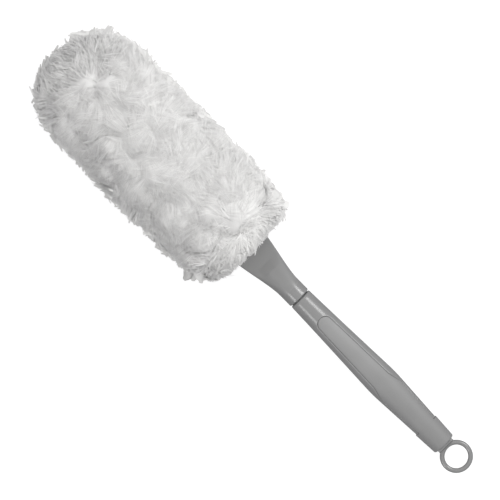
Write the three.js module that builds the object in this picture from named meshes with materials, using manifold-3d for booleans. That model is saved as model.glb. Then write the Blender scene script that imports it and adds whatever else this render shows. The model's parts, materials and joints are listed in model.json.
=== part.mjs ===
// A hand duster: a fluffy white microfibre sleeve on a flat paddle plugged into a grey handle.
// A ring at the handle's end hangs it up. Sizes are in millimetres. In the duster's own frame the
// handle's front face is at x = 0, the handle runs towards +X and the head towards -X, and the face of
// the grip is up, +Z. The finished duster lies on its head and on its cuff.
import * as THREE from "three";
import { mergeVertices } from "three/addons/utils/BufferGeometryUtils.js";
import Module from "manifold-3d";

// Fits
const CLEARANCE = 0.3;
const SEAM_GAP = 0.6;

// Handle shell
const HANDLE_LENGTH = 203;
const HANDLE_FRONT_DIAMETER = 23.8;
const BELLY_AT = 118;
const BELLY_WIDTH = 32.5;
const BELLY_DEPTH = 28;
const BELLY_ROUNDING = 0.9;
const SWELL_POWER = 1.15;
const WAIST_WIDTH = 25.8;
const WAIST_DEPTH = 23.4;
const SHELL_WALL = 1.8;
const RIM_ROUNDING = 0.8;

// Soft grip: a panel on each face that widens at the belly and runs into the end cuff
const GRIP_THICKNESS = 1.4;
const CUFF_LENGTH = 25.3;
const CUFF_STEP = 0.7;
const CUFF_END_WIDTH = 24.8;
const CUFF_END_DEPTH = 22.6;
const CUFF_ROUNDING = 1.2;
const PANEL_START = 27.5;
const PANEL_FRONT_WIDTH = 14.6;
const PANEL_BELLY_WIDTH = 20.2;
const SHOULDER_LENGTH = 15;
const SHOULDER_LEAD_SHARE = 0.3;
const PANEL_EDGE_INSET = 1.4;
const SIDE_RECESS_SHARE = 0.4;

// Hang ring
const RING_DIAMETER = 33.1;
const RING_BAR = 4.85;
const RING_STANDOFF = 0.8;
const TAB_WIDTH = 18.6;
const TAB_THICKNESS = 4.4;
const PLUG_DEPTH = 14.4;
const PLUG_LENGTH = 16;
const PLUG_SQUARENESS = 3;

// Head frame: spigot, neck and paddle
const SPIGOT_DIAMETER = 18;
const SPIGOT_LENGTH = 40;
const SOCKET_SPARE = 2;
const NECK_DIAMETER = 24;
const NECK_STRAIGHT = 18;
const NECK_LENGTH = 75;
const NECK_CORE_LENGTH = 40;
const NECK_CORE_WIDTH = 21;
const NECK_CORE_DEPTH = 19;
const NECK_RAMP_LENGTH = 13;
const PADDLE_WIDTH = 42;
const PADDLE_THICKNESS = 5.5;
const PADDLE_LENGTH = 228;
const PADDLE_SQUARENESS = 6;

// Sleeve: woven pocket, elastic at its mouth, and the pile sewn on in rows
const BACKING_THICKNESS = 1.2;
const POCKET_SQUARENESS = 5;
const MOUTH_AT = 72;
const ELASTIC_WIDTH = 8;
const ELASTIC_THICKNESS = 1.2;
const PILE_LENGTH = 43;
const PILE_OVERHANG = 8;
const PILE_MOUTH_OPENING = 5;
const PILE_MOUTH_ROUNDING = 36;
const PILE_MOUTH_SQUARENESS = 2.5;
const PILE_TIP_ROUNDING = 62;
const PILE_TIP_SQUARENESS = 2.35;
const PILE_ROWS = 10;
const ROOT_WIDTH = 7;
const TUFTS_AROUND = 12;
const TUFT_RELIEF = 5;
const TUFT_SCALLOP = 4.5;

// How far the pile's weight presses it flat at the middle of the head when the duster lies down
const PILE_SETTLE = 4;

// Fineness: how many sides the sections have, and at which shares of a length they stand
const HANDLE_SIDES = 28;
const RING_STEPS = 32;
const RING_BAR_SIDES = 11;
const POCKET_SIDES = 28;
const POINTS_PER_TUFT = 4;
const SWELL_SHARES = [0.3, 0.6, 0.87];
const WAIST_SHARE = 0.6;
const NOSE_SHARES = [0.03, 0.13, 0.3, 0.55, 1];
const PANEL_SHARE = 0.6;
const SHOULDER_SHARES = [-0.3, -0.05, 0.15, 0.35, 0.55, 0.7];
const FLARE_SHARES = [0.4, 0.55];
const CORNER_DEGREES = [0, 30, 55, 75];
const RIM_SHARES = [0, 0.3, 0.7, 1];
const MOUTH_RIM_SHARES = [0, 0.04, 0.15, 0.4, 0.7, 1];
const TIP_SHARES = [0, 0.25, 0.5, 0.72, 0.88, 0.985];
const MERGE_TOLERANCE = 1e-4;

// Places along the axis that follow from the sizes
const CUFF_AT = HANDLE_LENGTH - CUFF_LENGTH;
const RING_AT = HANDLE_LENGTH + RING_STANDOFF + RING_DIAMETER / 2;
const PADDLE_TIP_AT = -NECK_LENGTH - PADDLE_LENGTH;
const BACKING_TIP_AT = PADDLE_TIP_AT - CLEARANCE - BACKING_THICKNESS;
const PILE_TIP_AT = BACKING_TIP_AT - PILE_LENGTH;
const PILE_MOUTH_AT = -MOUTH_AT + PILE_OVERHANG;
const TIP_TUFT_AT = BACKING_TIP_AT - CLEARANCE;

// Half sizes of the pocket and of the pile round it
const POCKET_HALF_WIDTH = PADDLE_WIDTH / 2 + CLEARANCE;
const POCKET_HALF_DEPTH = PADDLE_THICKNESS / 2 + CLEARANCE;
const BACKING_HALF_WIDTH = POCKET_HALF_WIDTH + BACKING_THICKNESS;
const BACKING_HALF_DEPTH = POCKET_HALF_DEPTH + BACKING_THICKNESS;
const PILE_HALF_WIDTH = BACKING_HALF_WIDTH + PILE_LENGTH;
const PILE_HALF_DEPTH = BACKING_HALF_DEPTH + PILE_LENGTH;
const ROW_PITCH = (PILE_MOUTH_AT - TIP_TUFT_AT) / PILE_ROWS;

const wasm = await Module();
wasm.setup();

const clamp01 = (t) => Math.min(1, Math.max(0, t));
const mix = (a, b, t) => a + (b - a) * t;
const smoothstep = (t) => clamp01(t) * clamp01(t) * (3 - 2 * clamp01(t));

// The smaller of two values, with the corner where they cross rounded off.
function softMin(a, b, rounding) {
  const h = Math.max(rounding - Math.abs(a - b), 0) / rounding;
  return Math.min(a, b) - (h * h * rounding) / 4;
}

// A cosine or sine bent for a superellipse, which is round at squareness 2 and boxier above it.
const bent = (c, squareness) => Math.sign(c) * Math.abs(c) ** (2 / squareness);

// A ring of points round the X axis, on a superellipse.
function section(x, halfWidth, halfDepth, sides, squareness = 2) {
  return Array.from({ length: sides }, (_, i) => {
    const angle = (2 * Math.PI * (i + 0.5)) / sides;
    const y = halfWidth * bent(Math.cos(angle), squareness);
    return new THREE.Vector3(x, y, halfDepth * bent(Math.sin(angle), squareness));
  });
}

const disc = (x, radius) => section(x, radius, radius, HANDLE_SIDES);

// A closed skin over rings of equal length. Its ends are capped, or its last ring joins its first.
function skin(rings, joined = false) {
  const sides = rings[0].length;
  const points = rings.flat();
  const faces = [];
  const strips = joined ? rings.length : rings.length - 1;
  for (let r = 0; r < strips; r++) {
    const here = r * sides;
    const next = ((r + 1) % rings.length) * sides;
    for (let i = 0; i < sides; i++) {
      const j = (i + 1) % sides;
      faces.push([here + i, here + j, next + j], [here + i, next + j, next + i]);
    }
  }
  if (!joined) {
    const last = (rings.length - 1) * sides;
    for (let i = 1; i < sides - 1; i++) {
      faces.push([0, i + 1, i], [last, last + i, last + i + 1]);
    }
  }
  const spanned = ([a, b, c]) => points[a].dot(points[b].clone().cross(points[c]));
  const volume = faces.reduce((sum, face) => sum + spanned(face), 0);
  const outward = volume > 0 ? faces : faces.map(([a, b, c]) => [a, c, b]);
  const geometry = new THREE.BufferGeometry();
  const coordinates = points.flatMap((p) => p.toArray());
  geometry.setAttribute("position", new THREE.Float32BufferAttribute(coordinates, 3));
  geometry.setIndex(outward.flat());
  return geometry;
}

// A plan outline, seen from above, as a block that reaches the same distance above and below the axis.
function planBlock(outline, height) {
  const settings = { depth: height, bevelEnabled: false };
  return new THREE.ExtrudeGeometry(new THREE.Shape(outline), settings).translate(0, 0, -height / 2);
}

function solidOf(geometry) {
  const bare = geometry.clone();
  bare.deleteAttribute("normal");
  bare.deleteAttribute("uv");
  const merged = mergeVertices(bare, MERGE_TOLERANCE);
  const vertProperties = new Float32Array(merged.attributes.position.array);
  const triVerts = new Uint32Array(merged.index.array);
  return new wasm.Manifold(new wasm.Mesh({ numProp: 3, vertProperties, triVerts }));
}

function geometryOf(solid) {
  const { vertProperties, triVerts } = solid.getMesh();
  const geometry = new THREE.BufferGeometry();
  geometry.setAttribute("position", new THREE.BufferAttribute(vertProperties, 3));
  geometry.setIndex(new THREE.BufferAttribute(triVerts, 1));
  return geometry;
}

// Handle profile: half size at x for one pair of front, belly and waist sizes, then the cuff.
function handleHalf(x, front, belly, waist, cuffEnd) {
  if (x >= CUFF_AT) {
    return mix(waist / 2 + CUFF_STEP, cuffEnd / 2, (x - CUFF_AT) / (CUFF_LENGTH - CUFF_ROUNDING));
  }
  const swell = (Math.max(x, 0) / BELLY_AT) ** SWELL_POWER;
  const rising = mix(front, belly, swell) / 2;
  const falling = mix(belly, waist, (x - BELLY_AT) / (CUFF_AT - BELLY_AT)) / 2;
  return softMin(rising, falling, BELLY_ROUNDING);
}

function handleHalfWidth(x) {
  return handleHalf(x, HANDLE_FRONT_DIAMETER, BELLY_WIDTH, WAIST_WIDTH, CUFF_END_WIDTH);
}

function handleHalfDepth(x) {
  return handleHalf(x, HANDLE_FRONT_DIAMETER, BELLY_DEPTH, WAIST_DEPTH, CUFF_END_DEPTH);
}

// Stations along the handle between two places, closer together round the belly.
function handleStations(from, to) {
  const shared = [
    ...SWELL_SHARES.map((share) => BELLY_AT * share),
    BELLY_AT,
    BELLY_AT + SHOULDER_LENGTH,
    mix(BELLY_AT, CUFF_AT, WAIST_SHARE),
    CUFF_AT - CLEARANCE,
    CUFF_AT,
    HANDLE_LENGTH - CUFF_ROUNDING,
  ];
  return [from, ...shared.filter((x) => x > from + RIM_ROUNDING && x < to - CLEARANCE), to];
}

// The handle's outside drawn in by the grip's recess and a wall, between two places along the axis. Ahead
// of the cuff the recess takes less from the sides, so that the shell's strips beside the grip stay joined.
function handleBody(recess, wall, from, to) {
  return handleStations(from, to).map((x) => {
    const side = (x < CUFF_AT ? recess * SIDE_RECESS_SHARE : recess) + wall;
    return section(x, handleHalfWidth(x) - side, handleHalfDepth(x) - recess - wall, HANDLE_SIDES);
  });
}

// The whole outside of the handle, with its front rim and the end of its cuff rounded off.
function handleOutside() {
  const rings = handleBody(0, 0, RIM_ROUNDING, HANDLE_LENGTH - CUFF_ROUNDING);
  const rim = disc(0, HANDLE_FRONT_DIAMETER / 2 - RIM_ROUNDING);
  const endWidth = CUFF_END_WIDTH / 2 - CUFF_ROUNDING;
  const endDepth = CUFF_END_DEPTH / 2 - CUFF_ROUNDING;
  const end = section(HANDLE_LENGTH, endWidth, endDepth, HANDLE_SIDES);
  return solidOf(skin([rim, ...rings, end]));
}

// Half width of the grip panel: a rounded front, a slow taper, and an S-shaped shoulder at the belly.
function panelHalf(x) {
  const along = clamp01((x - PANEL_START) / (BELLY_AT - PANEL_START));
  const narrow = mix(PANEL_FRONT_WIDTH, PANEL_BELLY_WIDTH, along) / 2;
  const wide = handleHalfWidth(Math.min(x, CUFF_AT - CLEARANCE)) - PANEL_EDGE_INSET;
  const shoulder = smoothstep((x - BELLY_AT) / SHOULDER_LENGTH + SHOULDER_LEAD_SHARE);
  const nose = PANEL_FRONT_WIDTH / 2;
  const round = Math.sqrt(1 - (1 - clamp01((x - PANEL_START) / nose)) ** 2);
  return mix(narrow, wide, shoulder) * round;
}

// The part of the handle that the grip covers, grown by a margin.
function gripRegion(margin) {
  const nose = PANEL_FRONT_WIDTH / 2;
  const stations = [
    ...NOSE_SHARES.map((share) => PANEL_START + nose * share),
    mix(PANEL_START + nose, BELLY_AT, PANEL_SHARE),
    ...SHOULDER_SHARES.map((share) => BELLY_AT + SHOULDER_LENGTH * share),
    (BELLY_AT + SHOULDER_LENGTH + CUFF_AT) / 2,
    CUFF_AT,
  ];
  const side = stations.map((x) => new THREE.Vector2(x - margin, panelHalf(x) + margin));
  const outside = BELLY_WIDTH;
  const behind = HANDLE_LENGTH + CUFF_LENGTH;
  side.push(new THREE.Vector2(CUFF_AT - margin, outside), new THREE.Vector2(behind, outside));
  const mirrored = side.map((p) => new THREE.Vector2(p.x, -p.y)).reverse();
  return solidOf(planBlock([...side, ...mirrored], 2 * BELLY_DEPTH));
}

// The bore in the handle's rear end that takes the ring's plug.
function plugBody(margin, from, to) {
  const halfWidth = TAB_WIDTH / 2 + margin;
  const halfDepth = PLUG_DEPTH / 2 + margin;
  const ring = (x) => section(x, halfWidth, halfDepth, HANDLE_SIDES, PLUG_SQUARENESS);
  return solidOf(skin([ring(from), ring(to)]));
}

const PLUG_START = HANDLE_LENGTH - PLUG_LENGTH;
const plugBore = plugBody(CLEARANCE, PLUG_START - CLEARANCE, HANDLE_LENGTH + RIM_ROUNDING);

function handleShell() {
  const recess = GRIP_THICKNESS + CLEARANCE;
  const underGrip = solidOf(skin(handleBody(recess, 0, PANEL_START - recess, HANDLE_LENGTH - recess)));
  const socketRadius = SPIGOT_DIAMETER / 2 + CLEARANCE;
  const socketEnd = SPIGOT_LENGTH + SOCKET_SPARE;
  const socket = solidOf(skin([disc(-RIM_ROUNDING, socketRadius), disc(socketEnd, socketRadius)]));
  const hollowRings = handleBody(recess, SHELL_WALL, socketEnd - CLEARANCE, PLUG_START + CLEARANCE);
  const hollow = solidOf(skin(hollowRings));
  const solid = handleOutside().subtract(gripRegion(CLEARANCE)).add(underGrip);
  return geometryOf(solid.subtract(socket).subtract(hollow).subtract(plugBore));
}

function softGrip() {
  const inside = solidOf(skin(handleBody(GRIP_THICKNESS, 0, 0, HANDLE_LENGTH - GRIP_THICKNESS)));
  return geometryOf(handleOutside().intersect(gripRegion(0)).subtract(inside).subtract(plugBore));
}

function hangRing() {
  const midRadius = (RING_DIAMETER - RING_BAR) / 2;
  const torus = new THREE.TorusGeometry(midRadius, RING_BAR / 2, RING_BAR_SIDES, RING_STEPS);
  torus.rotateZ(Math.PI / RING_STEPS).translate(RING_AT, 0, 0);
  const tabEnd = RING_AT - Math.sqrt((RING_DIAMETER / 2) ** 2 - (TAB_WIDTH / 2) ** 2);
  const holeRadius = midRadius - RING_BAR / 2;
  const mergeAt = Math.min(tabEnd + RING_BAR / 2, RING_AT - holeRadius - RING_BAR / 4);
  const half = TAB_WIDTH / 2;
  const tab = planBlock(
    [
      new THREE.Vector2(HANDLE_LENGTH - RIM_ROUNDING, -half),
      new THREE.Vector2(tabEnd, -half),
      new THREE.Vector2(mergeAt, -half + RING_BAR / 2),
      new THREE.Vector2(mergeAt, half - RING_BAR / 2),
      new THREE.Vector2(tabEnd, half),
      new THREE.Vector2(HANDLE_LENGTH - RIM_ROUNDING, half),
    ],
    TAB_THICKNESS,
  );
  return geometryOf(solidOf(torus).add(solidOf(tab)).add(plugBody(0, PLUG_START, HANDLE_LENGTH)));
}

// Share of the neck's flare that is reached at a distance from the butt joint.
function flare(distance) {
  const t = clamp01((distance - NECK_STRAIGHT) / (NECK_LENGTH - NECK_STRAIGHT));
  return (t + smoothstep(t)) / 2;
}

function headFrame() {
  const joint = -CLEARANCE;
  const rampEnd = NECK_CORE_LENGTH + NECK_RAMP_LENGTH;
  const spigot = [
    disc(SPIGOT_LENGTH, SPIGOT_DIAMETER / 2 - RIM_ROUNDING),
    disc(SPIGOT_LENGTH - RIM_ROUNDING, SPIGOT_DIAMETER / 2),
    disc(joint, SPIGOT_DIAMETER / 2),
  ];
  const core = [
    disc(joint, NECK_DIAMETER / 2 - RIM_ROUNDING),
    disc(joint - RIM_ROUNDING, NECK_DIAMETER / 2),
    section(-NECK_CORE_LENGTH, NECK_CORE_WIDTH / 2, NECK_CORE_DEPTH / 2, HANDLE_SIDES),
    section(-rampEnd, NECK_CORE_WIDTH / 2, PADDLE_THICKNESS / 2 - CLEARANCE, HANDLE_SIDES),
  ];
  const flaring = FLARE_SHARES.map((share) => share * NECK_LENGTH);
  const stations = [NECK_STRAIGHT / 2, NECK_STRAIGHT, ...flaring, rampEnd, NECK_LENGTH];
  const blade = stations.map((distance) => {
    const thinned = smoothstep(distance / rampEnd);
    const halfWidth = mix(NECK_DIAMETER, PADDLE_WIDTH, flare(distance)) / 2 - CLEARANCE * (1 - thinned);
    const halfDepth = mix(NECK_DIAMETER, PADDLE_THICKNESS, thinned) / 2;
    return section(-distance, halfWidth, halfDepth, HANDLE_SIDES, mix(2, PADDLE_SQUARENESS, thinned));
  });
  const cornerAt = PADDLE_TIP_AT + PADDLE_WIDTH / 2;
  for (const angle of CORNER_DEGREES) {
    const turn = THREE.MathUtils.degToRad(angle);
    const x = cornerAt - (PADDLE_WIDTH / 2) * Math.sin(turn);
    const halfWidth = (PADDLE_WIDTH / 2) * Math.cos(turn);
    blade.push(section(x, halfWidth, PADDLE_THICKNESS / 2, HANDLE_SIDES, PADDLE_SQUARENESS));
  }
  return geometryOf(solidOf(skin([...spigot, ...core])).add(solidOf(skin(blade))));
}

// A ring of the woven pocket, or of what lies round it: a flat loop at a margin outside the paddle.
function pocketRing(x, halfWidth, halfDepth) {
  return section(x, halfWidth, halfDepth, POCKET_SIDES, POCKET_SQUARENESS);
}

function sleeveBacking() {
  const tipRound = PADDLE_WIDTH / 2;
  const turns = CORNER_DEGREES.map(THREE.MathUtils.degToRad);
  const outside = [pocketRing(-MOUTH_AT, BACKING_HALF_WIDTH, BACKING_HALF_DEPTH)];
  const inside = [pocketRing(-MOUTH_AT, POCKET_HALF_WIDTH, POCKET_HALF_DEPTH)];
  for (const turn of turns) {
    const x = PADDLE_TIP_AT + tipRound - tipRound * Math.sin(turn);
    const grow = (x - PADDLE_TIP_AT) / tipRound;
    const outerX = mix(BACKING_TIP_AT, x, grow);
    const innerX = mix(PADDLE_TIP_AT - CLEARANCE, x, grow);
    const outerHalf = tipRound * Math.cos(turn) + CLEARANCE + BACKING_THICKNESS;
    const innerHalf = tipRound * Math.cos(turn) + CLEARANCE;
    outside.push(pocketRing(outerX, outerHalf, BACKING_HALF_DEPTH));
    inside.push(pocketRing(innerX, innerHalf, POCKET_HALF_DEPTH));
  }
  return geometryOf(solidOf(skin(outside)).subtract(solidOf(skin(inside))));
}

function mouthElastic() {
  const inner = (x) => pocketRing(x, BACKING_HALF_WIDTH + CLEARANCE, BACKING_HALF_DEPTH + CLEARANCE);
  const grown = CLEARANCE + ELASTIC_THICKNESS;
  const outer = (x) => pocketRing(x, BACKING_HALF_WIDTH + grown, BACKING_HALF_DEPTH + grown);
  const front = -MOUTH_AT;
  const back = -MOUTH_AT - ELASTIC_WIDTH;
  return skin([inner(front), outer(front), outer(back), inner(back)], true);
}

// How full the pile stands at x: it rounds off to the tip, and to an opening round the neck at the mouth.
function fullness(x) {
  const rounded = (t, squareness) => (1 - (1 - clamp01(t)) ** squareness) ** (1 / squareness);
  const opening = (BACKING_HALF_WIDTH + PILE_MOUTH_OPENING) / PILE_HALF_WIDTH;
  const mouth = rounded((PILE_MOUTH_AT - x) / PILE_MOUTH_ROUNDING, PILE_MOUTH_SQUARENESS);
  const tip = rounded((x - PILE_TIP_AT) / PILE_TIP_ROUNDING, PILE_TIP_SQUARENESS);
  return Math.min(mix(opening, 1, mouth), tip);
}

// The pose at rest: the duster leans on the pressed underside of its head and on the low edge of its cuff.
const cuffEdge = { x: HANDLE_LENGTH - CUFF_ROUNDING, half: CUFF_END_DEPTH / 2 };
const headMiddle = (PILE_MOUTH_AT + PILE_TIP_AT) / 2;
const lean = Math.atan2(PILE_HALF_DEPTH - PILE_SETTLE - cuffEdge.half, cuffEdge.x - headMiddle);
const reach = (x) => x * Math.sin(lean) + handleHalfDepth(x) * Math.cos(lean);
const axisHeight = Math.max(reach(cuffEdge.x), reach(CUFF_AT), reach(BELLY_AT));
const floorAt = (x) => (x * Math.sin(lean) - axisHeight) / Math.cos(lean);

// The angle of one point round the pile, and how far it is from the middle of its tuft: 0 there, 1 at the
// groove beside it. Tufts of odd rows sit between those of even rows.
function tuftPoint(index, odd) {
  const turn = index / POINTS_PER_TUFT;
  const place = odd ? turn + 0.5 : turn;
  const angle = (2 * Math.PI * turn) / TUFTS_AROUND;
  return { angle, away: 2 * Math.abs(place - Math.round(place)) };
}

const tuftPoints = (odd) =>
  Array.from({ length: TUFTS_AROUND * POINTS_PER_TUFT }, (_, index) => tuftPoint(index, odd));

// A point of the pile's outside, lowered into the grooves round its tuft and pressed on the floor.
function pilePoint(x, angle, lowered) {
  const full = fullness(x);
  const drop = TUFT_RELIEF * lowered * full;
  const y = (PILE_HALF_WIDTH * full - drop) * Math.cos(angle);
  const z = (PILE_HALF_DEPTH * full - drop) * Math.sin(angle);
  return new THREE.Vector3(x, y, Math.max(z, floorAt(x)));
}

// The scalloped line where one row of pile ends and the next begins.
function rowEdge(boundary, point) {
  const scallop = boundary === 0 ? 0 : TUFT_SCALLOP;
  return PILE_MOUTH_AT - ROW_PITCH * boundary - scallop + scallop * Math.cos(Math.PI * point.away);
}

// The pile's root line on the pocket, at the same angles as its rim.
function rootRing(x, odd, margin) {
  return tuftPoints(odd).map(({ angle }) => {
    const y = (BACKING_HALF_WIDTH + margin) * bent(Math.cos(angle), POCKET_SQUARENESS);
    const z = (BACKING_HALF_DEPTH + margin) * bent(Math.sin(angle), POCKET_SQUARENESS);
    return new THREE.Vector3(x, y, z);
  });
}

// One row of fringe: sewn on along a narrow root, it fans out to a rim of rounded tufts.
function pileRow(index) {
  const odd = index % 2 === 1;
  const points = tuftPoints(odd);
  const opposite = tuftPoints(!odd);
  const shares = index === 0 ? MOUTH_RIM_SHARES : RIM_SHARES;
  const rim = shares.map((share) =>
    points.map((point, i) => {
      const front = rowEdge(index, point);
      const back = rowEdge(index + 1, opposite[i]) + CLEARANCE;
      const edge = index === 0 ? Math.max(0, 2 * share - 1) ** 2 : (2 * share - 1) ** 2;
      const lowered = Math.max(edge, point.away ** 2);
      return pilePoint(mix(front, back, share), point.angle, lowered);
    }),
  );
  const middle = PILE_MOUTH_AT - ROW_PITCH * (index + 0.5);
  const rootFront = Math.min(middle + ROOT_WIDTH / 2, -MOUTH_AT - ELASTIC_WIDTH - CLEARANCE);
  const rootBack = rootFront - ROOT_WIDTH;
  const overElastic = CLEARANCE + ELASTIC_THICKNESS + SEAM_GAP;
  const collar = index === 0 ? [rootRing(rootFront, odd, overElastic)] : [];
  const roots = [rootRing(rootBack, odd, SEAM_GAP), rootRing(rootFront, odd, SEAM_GAP)];
  return skin([...roots, ...collar, ...rim], true);
}

// The tuft that closes the end: it starts at the last row's scalloped edge and rounds off to the tip.
function tipTuft() {
  const points = tuftPoints(PILE_ROWS % 2 === 1);
  const rings = TIP_SHARES.map((share) =>
    points.map((point) => {
      const lowered = mix(Math.max(point.away ** 2, share === 0 ? 1 : 0), 0, share);
      return pilePoint(mix(rowEdge(PILE_ROWS, point), PILE_TIP_AT, share), point.angle, lowered);
    }),
  );
  return skin([rootRing(TIP_TUFT_AT, false, 0), ...rings]);
}

const glossPlastic = new THREE.MeshStandardMaterial({ color: 0x8f8f8f, roughness: 0.32, metalness: 0 });
const softRubber = new THREE.MeshStandardMaterial({ color: 0x9a9a9a, roughness: 0.62, metalness: 0 });
const ringPlastic = new THREE.MeshStandardMaterial({ color: 0x939393, roughness: 0.4, metalness: 0 });
const neckPlastic = new THREE.MeshStandardMaterial({ color: 0x8c8c8c, roughness: 0.36, metalness: 0 });
const weave = new THREE.MeshStandardMaterial({ color: 0xe4e4e6, roughness: 0.95, metalness: 0 });
const elasticWeave = new THREE.MeshStandardMaterial({ color: 0xdadadc, roughness: 0.9, metalness: 0 });
const microfibre = new THREE.MeshStandardMaterial({ color: 0xf1f1f3, roughness: 1, metalness: 0 });

function piece(name, geometry, material) {
  const mesh = new THREE.Mesh(geometry, material.clone());
  mesh.name = name;
  return mesh;
}

const handle = new THREE.Group();
handle.add(
  piece("handle_shell", handleShell(), glossPlastic),
  piece("soft_grip", softGrip(), softRubber),
  piece("hang_ring", hangRing(), ringPlastic),
);

const sleeve = new THREE.Group();
sleeve.add(
  piece("sleeve_backing", sleeveBacking(), weave),
  piece("mouth_elastic", mouthElastic(), elasticWeave),
);
for (let row = 0; row < PILE_ROWS; row++) {
  sleeve.add(piece("pile_row_" + String(row + 1).padStart(2, "0"), pileRow(row), microfibre));
}
sleeve.add(piece("tip_tuft", tipTuft(), microfibre));

const lying = new THREE.Group();
lying.add(handle, piece("head_frame", headFrame(), neckPlastic), sleeve);
lying.rotation.y = lean;
lying.position.z = axisHeight;

// The origin is under the middle of the lying duster.
const duster = new THREE.Group();
duster.add(lying);
const extent = new THREE.Box3().setFromObject(duster, true);
lying.position.x -= (extent.min.x + extent.max.x) / 2;
lying.position.y -= (extent.min.y + extent.max.y) / 2;

export default duster;
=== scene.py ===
"""A hand duster with a fluffy white sleeve on a grey handle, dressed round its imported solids.

Lengths are in metres. In the duster's own frame the handle's front face is at x = 0, the handle runs
towards +X and the head towards -X, and the face of the grip is up, +Z.
"""

import json
import math

import bmesh
import bpy
import numpy as np
from bmesh.types import BMEdge, BMVert
from mathutils import Matrix, Vector


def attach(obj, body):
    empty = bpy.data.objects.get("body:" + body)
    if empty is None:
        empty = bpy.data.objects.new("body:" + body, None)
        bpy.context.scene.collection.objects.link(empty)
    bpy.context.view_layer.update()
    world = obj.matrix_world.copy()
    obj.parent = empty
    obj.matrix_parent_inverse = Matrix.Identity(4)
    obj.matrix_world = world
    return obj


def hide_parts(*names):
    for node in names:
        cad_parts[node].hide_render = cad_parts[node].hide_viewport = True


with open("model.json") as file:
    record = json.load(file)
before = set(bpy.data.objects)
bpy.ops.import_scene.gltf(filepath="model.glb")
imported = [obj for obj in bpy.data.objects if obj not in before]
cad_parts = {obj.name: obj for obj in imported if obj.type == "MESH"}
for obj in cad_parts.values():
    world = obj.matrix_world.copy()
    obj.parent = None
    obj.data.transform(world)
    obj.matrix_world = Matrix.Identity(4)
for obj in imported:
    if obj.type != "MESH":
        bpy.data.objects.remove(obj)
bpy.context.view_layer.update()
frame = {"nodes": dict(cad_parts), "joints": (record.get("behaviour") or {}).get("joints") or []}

# Handle shell
HANDLE_LENGTH = 0.2038
HANDLE_FRONT_DIAMETER = 0.0238
BELLY_AT = 0.118
BELLY_WIDTH = 0.0325
BELLY_DEPTH = 0.028
BELLY_ROUNDING = 0.0009
SWELL_POWER = 1.15
WAIST_WIDTH = 0.0258
WAIST_DEPTH = 0.0234
RIM_ROUNDING = 0.0013
# Distances behind the rim's face, and how far in its rounded edge lies there
RIM_PROFILE = (
    (0.0, 0.0022),
    (0.00025, 0.0018),
    (0.00042, 0.0011),
    (0.0006, 0.0006),
    (0.0008, 0.00027),
    (0.00105, 0.00007),
    (0.0013, 0.0),
)
SOCKET_RADIUS = 0.0093
SOCKET_DEPTH = 0.042

# Soft grip
GRIP_THICKNESS = 0.0014
GRIP_RECESS = 0.0017
CUFF_LENGTH = 0.0261
CUFF_STEP = 0.001
CUFF_RISE = 0.014
CUFF_END_WIDTH = 0.0248
CUFF_END_DEPTH = 0.0226
CUFF_END_ROUNDING = 0.0016
CUFF_FRONT_ROUNDING = 0.0009
PANEL_START = 0.0275
PANEL_FRONT_WIDTH = 0.0146
PANEL_BELLY_WIDTH = 0.0202
PANEL_EDGE_ROUNDING = 0.00035
PANEL_EDGE_INSET = 0.0023
PANEL_GROOVE = 0.00014
SHOULDER_LENGTH = 0.019
SHOULDER_LEAD_SHARE = 0.3
LIP_ROUNDING = 0.0014
CUFF_AT = HANDLE_LENGTH - CUFF_LENGTH

# Hang ring
RING_DIAMETER = 0.0331
RING_BAR = 0.00485
RING_STANDOFF = 0.0008
TAB_WIDTH = 0.0186
TAB_THICKNESS = 0.0044
TAB_ROOT_THICKNESS = 0.0136
TAB_STEP = 0.0015
TAB_SQUARENESS = 8
PLUG_DEPTH = 0.0144
PLUG_LENGTH = 0.016
PLUG_SQUARENESS = 3
RING_VOXEL = 0.00035
RING_AT = HANDLE_LENGTH + RING_STANDOFF + RING_DIAMETER / 2

# Head frame
CLEARANCE = 0.0003
SPIGOT_DIAMETER = 0.018
SPIGOT_LENGTH = 0.04
NECK_DIAMETER = 0.024
NECK_STRAIGHT = 0.018
NECK_LENGTH = 0.075
NECK_TAPER_AT = 0.0052
NECK_TAPER = 0.262
NECK_EDGE = 0.003
NECK_FILLET = 0.0012
RIDGE_TAPER = 0.2
RIDGE_TOP = 0.004
RIDGE_FOOT = 0.013
RIDGE_TOP_END = 0.0395
RIDGE_END = 0.0505
PADDLE_WIDTH = 0.042
PADDLE_THICKNESS = 0.0055
PADDLE_LENGTH = 0.228
PADDLE_TIP_AT = NECK_LENGTH + PADDLE_LENGTH

# Sleeve
BACKING_THICKNESS = 0.0012
POCKET_SQUARENESS = 8
MOUTH_AT = 0.072
ELASTIC_WIDTH = 0.008
ELASTIC_THICKNESS = 0.0012
ELASTIC_GATHERS = 64
ELASTIC_GATHER_DEPTH = 0.00025
POCKET_HALF_WIDTH = PADDLE_WIDTH / 2 + CLEARANCE
POCKET_HALF_DEPTH = PADDLE_THICKNESS / 2 + CLEARANCE
BACKING_HALF_WIDTH = POCKET_HALF_WIDTH + BACKING_THICKNESS
BACKING_HALF_DEPTH = POCKET_HALF_DEPTH + BACKING_THICKNESS
BACKING_TIP_AT = -PADDLE_TIP_AT - CLEARANCE - BACKING_THICKNESS

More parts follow.
